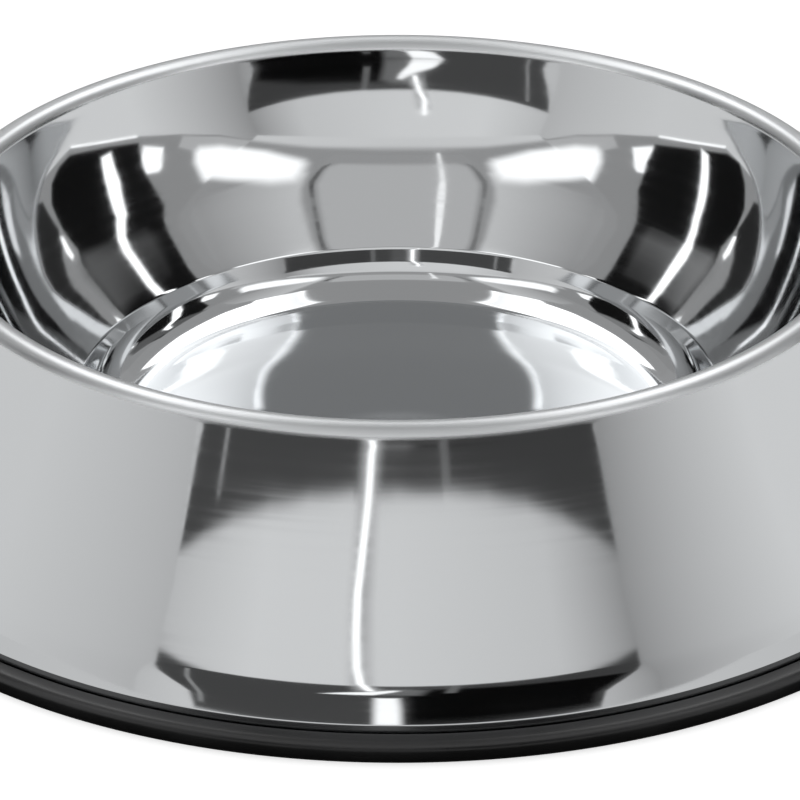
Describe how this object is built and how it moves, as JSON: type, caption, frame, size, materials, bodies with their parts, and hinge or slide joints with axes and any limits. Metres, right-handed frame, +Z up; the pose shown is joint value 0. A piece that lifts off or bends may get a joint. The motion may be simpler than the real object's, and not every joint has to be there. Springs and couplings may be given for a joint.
{
  "type": "dog bowl",
  "caption": "Low non-tip pet bowl: round polished dish whose sheet folds over at the rim into a flared skirt, standing on a removable black rubber ring.",
  "frame": {"origin": "on the surface the bowl stands on, under the centre of the dish", "axes": "+Z up along the bowl's axis of rotation; X and Y are free, because the bowl is round"},
  "size_m": [0.222, 0.222, 0.0488],
  "materials": {
    "polished_steel": "mirror-polished stainless sheet",
    "black_rubber": "semi-matte moulded black rubber"
  },
  "bodies": {
    "ring": {"rubber_ring": "black_rubber"},
    "bowl": {"steel_bowl": "polished_steel"}
  },
  "joints": [
    {"name": "bowl_lift", "type": "slide", "parent": "ring", "child": "bowl", "axis": [0, 0, 1], "range_m": [0, 0.06]}
  ]
}
